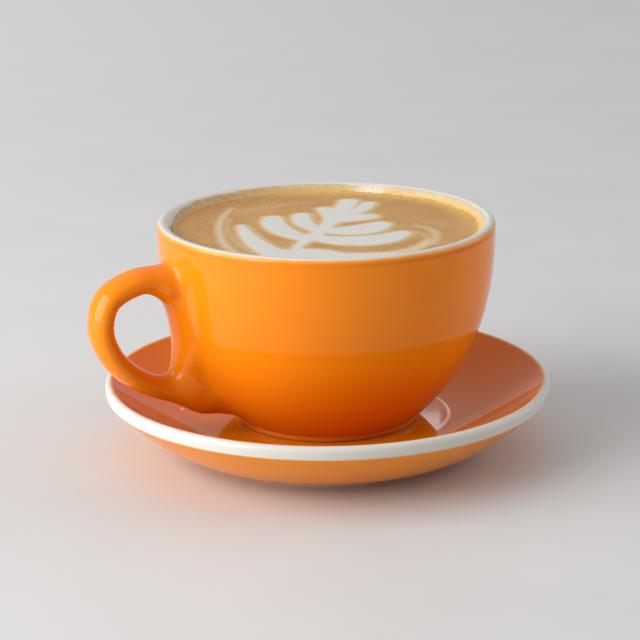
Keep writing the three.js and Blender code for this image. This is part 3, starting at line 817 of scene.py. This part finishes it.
turn_angle = np.arange(RING_TURNS)[None] * 2 * math.pi / RING_TURNS
waves = 1 + 0.3 * np.sin(3 * turn_angle + 1) + 0.2 * np.sin(7 * turn_angle)
climb = MENISCUS_RISE * np.exp(-(top_edge - rings) / MENISCUS_WIDTH) * waves
body = inside_line(BODY_TOP + 0.8, -WALL_REACH)
body = body[body[:, 1] < BODY_TOP]
body_profile = spaced(eased(body, reach=0.4), longest=5, sharpest=0.3)
radii = np.concatenate([body_profile[1:, :1], rings[:0:-1]])
body_heights = np.repeat(CUP_Z + body_profile[1:, 1:], RING_TURNS, axis=1)
heights = np.concatenate([body_heights, DRINK_LEVEL + climb[:0:-1]])
ring_points = np.stack([AXIS_X + radii * np.cos(turn_angle), radii * np.sin(turn_angle), heights], -1)
poles = [(AXIS_X, 0, CUP_Z + body_profile[0, 1]), (AXIS_X, 0, DRINK_LEVEL)]
drink_points = np.concatenate([ring_points.reshape(-1, 3), poles])
drink_quads, drink_caps = ring_faces(len(radii), RING_TURNS)
drink = put_mesh("coffee_with_crema", drink_points, drink_quads.tolist() + drink_caps.tolist())


def bell(angle, centre, width):
    """A share that is 1 at one angle, given in degrees, and falls to both sides: e to the power of less the
    square of the distance over the width."""
    return np.exp(-((angle - math.radians(centre)) / math.radians(width)) ** 2)


flat_x = drink_points[:, 0] - AXIS_X
flat_y = drink_points[:, 1]
from_middle = np.hypot(flat_x, flat_y)
flat_turn = np.arctan2(flat_y, flat_x)
pale = np.zeros(len(drink_points))
for line, half, strength in HALOS:
    ring_share = np.clip(0.5 + stroke_depth(flat_x, flat_y, line, half) / HALO_SOFTNESS, 0, 1)
    pale = np.maximum(pale, strength * ring_share)
near_edge = np.clip((from_middle - DARK_FROM_RADIUS) / DARK_FADE, 0, 1)
back = np.maximum(bell(flat_turn, *LEFT_BACK), 0.7 * bell(flat_turn, *RIGHT_BACK))
gold_side = np.clip((np.cos(flat_turn - math.radians(GOLD_TURN)) - 0.3) / 0.5, 0, 1)
gold_rim = np.exp(-(((top_edge - from_middle) / GOLD_WIDTH) ** 2))
set_share(drink, "foam_depth", foam_depth(flat_x, flat_y))
set_share(drink, "halo", pale)
set_share(drink, "from_wall", top_edge - from_middle)
set_share(drink, "dark_zone", near_edge * back)
set_share(drink, "gold_edge", gold_side * gold_rim)
crema_paint, crema_tree, crema_shader, crema_place = new_material("crema")
tan_cloud = ramp(crema_tree, noise(crema_tree, crema_place, 9, 4), 0.35, 0.65)
tan = blend(crema_tree, tan_cloud, srgb(182, 130, 68), srgb(191, 144, 86))
tan = blend(crema_tree, stored(crema_tree, "dark_zone"), tan, srgb(172, 116, 56))
speck = ramp(crema_tree, noise(crema_tree, crema_place, 0.7), 0.42, 0.66, 0.0, 0.8)
tan = blend(crema_tree, speck, tan, srgb(202, 162, 110))
dark_speck = ramp(crema_tree, noise(crema_tree, crema_place, 1.1, 4), 0.58, 0.72, 0.0, 0.6)
tan = blend(crema_tree, dark_speck, tan, srgb(160, 106, 52))
by_leaf = ramp(crema_tree, stored(crema_tree, "foam_depth"), -2.0, 0.0, 0.0, 0.6)
edge_tan = blend(crema_tree, by_leaf, tan, srgb(222, 190, 142))
with_halo = blend(crema_tree, stored(crema_tree, "halo"), edge_tan, srgb(217, 197, 160))
gilded = blend(crema_tree, stored(crema_tree, "gold_edge"), with_halo, srgb(220, 174, 92))
by_wall = ramp(crema_tree, stored(crema_tree, "from_wall"), 1.2, 0.3, 0.0, 0.7)
crema_colour = blend(crema_tree, by_wall, gilded, srgb(220, 184, 128))
crema_tree.links.new(crema_colour, crema_shader.inputs["Base Color"])
crema_shader.inputs["Roughness"].default_value = 0.5
crema_shader.inputs["Specular IOR Level"].default_value = 0.2
grain(crema_tree, crema_shader, noise(crema_tree, crema_place, 0.6), 0.2, 0.0002)
drink.data.materials.append(crema_paint)
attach(drink, "root")
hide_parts("latte")

# The foam left on the wall: the pour rose and fell again, and left a thin cream film on the glaze from
# the drink's edge nearly up to the lip. It is high at the back and on the right and thin on the left.
FILM_TURNS = 480
FILM_STEPS = 10
FILM_THICKNESS = 0.3
FILM_FOOT = 0.9
FILM_SUNK = 0.12
FILM_LOW = 63.1
FILM_FULL = 65.8
FILM_THIN = 63.75
THIN_TURN = 175
THIN_HALF_WIDTH = 12
THIN_FADE = 42
CLUMP_TURN = 47


def wall_radius(height):
    """The lip's inner curve: the lip's top radius less the curve's depth times the cosine of the angle whose
    sine is the height above the curve's foot over its drop."""
    rise = np.clip((height - lip_foot) / LIP_INNER_DROP, 0, 1)
    return LIP_TOP_RADIUS - lip_depth * np.sqrt(1 - rise ** 2)


def wall_coat(angle):
    """How far the film climbs, from 0 to 1: down towards the left it falls as three times the square of the
    way less twice its cube, and small slow waves run along it."""
    from_thin = np.abs((angle - math.radians(THIN_TURN) + math.pi) % (2 * math.pi) - math.pi)
    cover = np.clip((from_thin - math.radians(THIN_HALF_WIDTH)) / math.radians(THIN_FADE), 0, 1)
    waves = 0.1 * np.sin(5 * angle + 0.7) + 0.07 * np.sin(13 * angle) + 0.05 * np.sin(29 * angle + 2)
    return np.clip(cover * cover * (3 - 2 * cover) + waves * cover, 0.02, 1)


film_angle = np.arange(FILM_TURNS) * 2 * math.pi / FILM_TURNS
film_top = FILM_THIN + (FILM_FULL - FILM_THIN) * wall_coat(film_angle)
film_share = np.linspace(0, 1, FILM_STEPS)[:, None]
film_height = FILM_LOW + (film_top - FILM_LOW) * film_share
plain_depth = FILM_THICKNESS * (1 - film_share ** 2) + FILM_FOOT * (1 - film_share) ** 4
film_depth = plain_depth * (1 + 0.25 * np.sin(9 * film_angle + 4 * film_share))
film_wall = wall_radius(film_height)
film_radius = np.concatenate([film_wall - film_depth, (film_wall + FILM_SUNK)[::-1]])
film_z = np.concatenate([film_height, film_height[::-1]]) + CUP_Z
film_x = AXIS_X + film_radius * np.cos(film_angle)
film_points = np.stack([film_x, film_radius * np.sin(film_angle), film_z], -1)
row = np.arange(2 * FILM_STEPS)[:, None] * FILM_TURNS
next_row = np.roll(row, -1, axis=0)
here = np.arange(FILM_TURNS)
there = np.roll(here, -1)
film_faces = np.stack([row + here, next_row + here, next_row + there, row + there], -1).reshape(-1, 4)
film = put_mesh("foam_on_wall", film_points.reshape(-1, 3), film_faces.tolist())
set_share(film, "clump", np.tile(bell(film_angle, CLUMP_TURN, 6), 2 * FILM_STEPS))
film_paint, film_tree, film_shader, film_place = new_material("wall_foam")
film_side = add(film_tree, "SeparateXYZ", inputs={"Vector": film_place})
to_right = ramp(film_tree, film_side.outputs["X"], -0.03, 0.03)
film_cloud = ramp(film_tree, noise(film_tree, film_place, 2.2), 0.3, 0.7)
film_up = ramp(film_tree, film_side.outputs["Z"], (CUP_Z + FILM_LOW + 0.8) * MM, (CUP_Z + FILM_FULL) * MM)
pale_cream = blend(film_tree, film_cloud, srgb(192, 176, 140), srgb(204, 190, 160))
cream = blend(film_tree, film_up, srgb(216, 174, 104), pale_cream)
tan_film = blend(film_tree, film_cloud, srgb(190, 146, 92), srgb(206, 172, 122))
film_base = blend(film_tree, to_right, tan_film, cream)
film_colour = blend(film_tree, stored(film_tree, "clump"), film_base, srgb(226, 216, 196))
film_tree.links.new(film_colour, film_shader.inputs["Base Color"])
film_shader.inputs["Roughness"].default_value = 0.4
grain(film_tree, film_shader, noise(film_tree, film_place, 0.7), 0.12, 0.0002)
film.data.materials.append(film_paint)
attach(film, "root")

# The bubbles: larger ones of the milk's foam, which gather in the drink's edge against the wall,
# with one whitish clump at the back; each is a small ball sunk half into the foam.
EDGE_BUBBLES = 90
CLUMP_BUBBLES = 40
BUBBLE_ROUND = 10
BUBBLE_ROWS = 6
BUBBLE_SUNK = 0.1
EDGE_SPAN = (-40, 118)
EDGE_SIZES = (0.12, 0.26)
CLUMP_SIZES = (0.12, 0.24)
CLUMP_RISE = 1.7
rng = np.random.default_rng(7)
edge_turn = np.radians(rng.uniform(*EDGE_SPAN, EDGE_BUBBLES))
edge_in = rng.exponential(0.8, EDGE_BUBBLES)
edge_size = rng.uniform(*EDGE_SIZES, EDGE_BUBBLES)
edge_radius = DRINK_RADIUS - BUBBLE_SUNK - np.minimum(edge_in, 4)
clump_turn = np.radians(rng.normal(CLUMP_TURN, 4, CLUMP_BUBBLES))
clump_high = rng.uniform(0, 1, CLUMP_BUBBLES)
clump_size = rng.uniform(*CLUMP_SIZES, CLUMP_BUBBLES)
clump_z = CUP_HEIGHT - FILL_DROP + clump_high * CLUMP_RISE
clump_radius = wall_radius(clump_z) - FILM_SUNK
bubble_turn = np.concatenate([edge_turn, clump_turn])
bubble_size = np.concatenate([edge_size, clump_size])
bubble_radius = np.concatenate([edge_radius, clump_radius])
bubble_z = np.concatenate([DRINK_LEVEL + 0.05 + 0.3 * np.exp(-edge_in), clump_z + CUP_Z])
middle_x = AXIS_X + bubble_radius * np.cos(bubble_turn)
middles = np.stack([middle_x, bubble_radius * np.sin(bubble_turn), bubble_z], 1)
up_angle = np.linspace(-math.pi / 2, math.pi / 2, BUBBLE_ROWS)[1:-1, None]
round_angle = np.arange(BUBBLE_ROUND) * 2 * math.pi / BUBBLE_ROUND
ball = np.stack([np.cos(up_angle) * np.cos(round_angle), np.cos(up_angle) * np.sin(round_angle),
                 np.repeat(np.sin(up_angle), BUBBLE_ROUND, axis=1)], -1).reshape(-1, 3)
ball = np.concatenate([ball, [(0, 0, -1), (0, 0, 1)]])
ball_quads, ball_caps = ring_faces(BUBBLE_ROWS - 2, BUBBLE_ROUND)
offset = np.arange(len(middles))[:, None, None] * len(ball)
bubble_points = (middles[:, None] + bubble_size[:, None, None] * ball).reshape(-1, 3)
bubble_faces = (offset + ball_quads).reshape(-1, 4).tolist() + (offset + ball_caps).reshape(-1, 3).tolist()
bubbles = put_mesh("milk_bubbles", bubble_points, bubble_faces)
set_share(bubbles, "clump", np.repeat(np.arange(len(middles)) >= EDGE_BUBBLES, len(ball)))
bubble_paint, bubble_tree, bubble_shader, bubble_place = new_material("bubble_skin")
bubble_tone = ramp(bubble_tree, noise(bubble_tree, bubble_place, 3, 2), 0.35, 0.65)
edge_colour = blend(bubble_tree, bubble_tone, srgb(208, 174, 122), srgb(216, 196, 156))
bubble_colour = blend(bubble_tree, stored(bubble_tree, "clump"), edge_colour, srgb(224, 214, 194))
bubble_tree.links.new(bubble_colour, bubble_shader.inputs["Base Color"])
bubble_shader.inputs["Roughness"].default_value = 0.3
bubbles.data.materials.append(bubble_paint)
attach(bubbles, "root")
